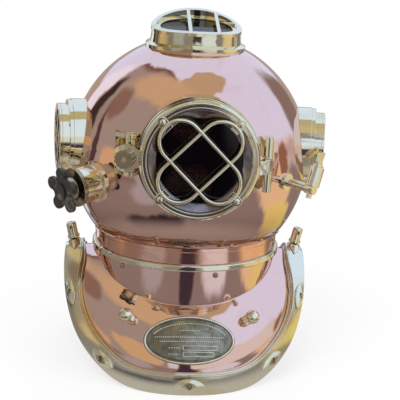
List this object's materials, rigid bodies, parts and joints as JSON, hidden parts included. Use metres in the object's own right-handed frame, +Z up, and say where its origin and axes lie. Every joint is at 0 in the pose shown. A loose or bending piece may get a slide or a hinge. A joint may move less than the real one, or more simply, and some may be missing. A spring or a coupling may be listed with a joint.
{
  "type": "diving helmet",
  "caption": "Copper diving helmet with brass fittings: domed bonnet with round and oval windows, hinged front window, exhaust and spit valves, on a saddle-shaped breastplate.",
  "frame": {"origin": "on the axis of the neck, at the height of the lowest edge of the breastplate, which stands on it", "axes": "+Z up along the neck; the front window faces -Y; the hinge of the front window is on the +X side"},
  "size_m": [0.361, 0.362, 0.4583],
  "materials": {
    "copper": "polished copper, lightly hammered",
    "brass": "polished pale yellow brass",
    "aged_brass": "darkened brass",
    "black_paint": "worn black paint",
    "window_glass": "clear thick glass",
    "rubber": "dark rubber",
    "leather": "greased brown leather",
    "spring_bronze": "spring bronze wire"
  },
  "bodies": {
    "breastplate": {"breastplate_shell": "copper", "breastplate_rim": "brass", "brail_front_left": "brass", "brail_front_right": "brass", "brail_back_left": "brass", "brail_back_right": "brass", "brail_pads": "brass", "rim_studs": "brass", "collar_ring": "brass", "neck_gasket": "leather", "nameplate": "brass", "lanyard_studs": "brass", "collar_screws": "brass", "catch_bracket": "brass", "catch_pin": "brass"},
    "safety_catch": {"safety_catch": "brass"},
    "shoulder_nut_left": {"shoulder_nut_left": "brass"},
    "shoulder_nut_right": {"shoulder_nut_right": "brass"},
    "bonnet": {"bonnet_shell": "copper", "bonnet_neck_ring": "copper", "neck_rivets": "copper", "front_seat_ring": "brass", "front_gasket": "rubber", "hinge_lugs": "brass", "hinge_pin": "brass", "latch_lugs": "brass", "latch_pin": "brass", "left_window_seat": "brass", "right_window_seat": "brass", "left_window_glass": "window_glass", "right_window_glass": "window_glass", "left_window_bezel": "brass", "right_window_bezel": "brass", "left_window_guard": "brass", "right_window_guard": "brass", "window_screws": "brass", "window_gaskets": "rubber", "top_window_frame": "brass", "top_window_glass": "window_glass", "top_window_retainer": "brass", "top_window_guard": "brass", "exhaust_body": "brass", "exhaust_cap": "aged_brass", "spit_cock_body": "brass", "air_elbow": "brass", "phone_elbow": "brass", "phone_gland": "brass"},
    "exhaust_wheel": {"exhaust_wheel": "black_paint", "exhaust_stem": "brass"},
    "chin_valve": {"chin_valve": "brass", "exhaust_spring": "spring_bronze"},
    "spit_cock_plug": {"spit_cock_plug": "brass"},
    "air_flap": {"air_check_flap": "brass"},
    "faceplate": {"faceplate_ring": "brass", "faceplate_glass": "window_glass", "faceplate_retainer": "brass", "faceplate_guard": "brass", "guard_screws": "brass"},
    "latch_bolt": {"swing_bolt": "brass"},
    "latch_nut": {"latch_nut": "aged_brass"}
  },
  "joints": [
    {"name": "bonnet_turn", "type": "hinge", "parent": "breastplate", "child": "bonnet", "pos_m": [0, 0, 0.1245], "axis": [0, 0, 1], "range_deg": [-45, 0]},
    {"name": "catch_swing", "type": "hinge", "parent": "breastplate", "child": "safety_catch", "pos_m": [0, 0.1325, 0.1455], "axis": [1, 0, 0], "range_deg": [0, 180]},
    {"name": "shoulder_nut_left_spin", "type": "hinge", "parent": "breastplate", "child": "shoulder_nut_left", "pos_m": [-0.15401, 0, 0.15864], "axis": [-0.2138, 0, 0.9769], "continuous": true},
    {"name": "shoulder_nut_right_spin", "type": "hinge", "parent": "breastplate", "child": "shoulder_nut_right", "pos_m": [0.15401, 0, 0.15864], "axis": [0.2138, 0, 0.9769], "continuous": true},
    {"name": "faceplate_hinge", "type": "hinge", "parent": "bonnet", "child": "faceplate", "pos_m": [0.082, -0.15, 0.283], "axis": [0, 0, 1], "range_deg": [0, 110]},
    {"name": "latch_swing", "type": "hinge", "parent": "bonnet", "child": "latch_bolt", "pos_m": [-0.079, -0.144, 0.289], "axis": [0, 0, 1], "range_deg": [-90, 0]},
    {"name": "latch_nut_spin", "type": "hinge", "parent": "latch_bolt", "child": "latch_nut", "pos_m": [-0.079, -0.144, 0.289], "axis": [-0.225, -0.9744, 0], "continuous": true},
    {"name": "exhaust_wheel_spin", "type": "hinge", "parent": "bonnet", "child": "exhaust_wheel", "pos_m": [0, 0, 0.267], "axis": [-0.7705, -0.6239, -0.1305], "range_deg": [0, 540]},
    {"name": "chin_valve_slide", "type": "slide", "parent": "bonnet", "child": "chin_valve", "axis": [-0.7705, -0.6239, -0.1305], "range_m": [0, 0.005], "stiffness_N_per_m": 400, "springref_m": -0.003},
    {"name": "spit_cock_turn", "type": "hinge", "parent": "bonnet", "child": "spit_cock_plug", "pos_m": [0.13885, -0.13409, 0.2535], "axis": [0.2567, 0.1701, 0.9514], "range_deg": [0, 90]},
    {"name": "air_flap_swing", "type": "hinge", "parent": "bonnet", "child": "air_flap", "pos_m": [0.09285, 0.16082, 0.2181], "axis": [0.866, -0.5, 0], "range_deg": [0, 45]}
  ],
  "couplings": [
    {"joint": "latch_swing", "follows": "faceplate_hinge", "ratio": -0.8}
  ]
}
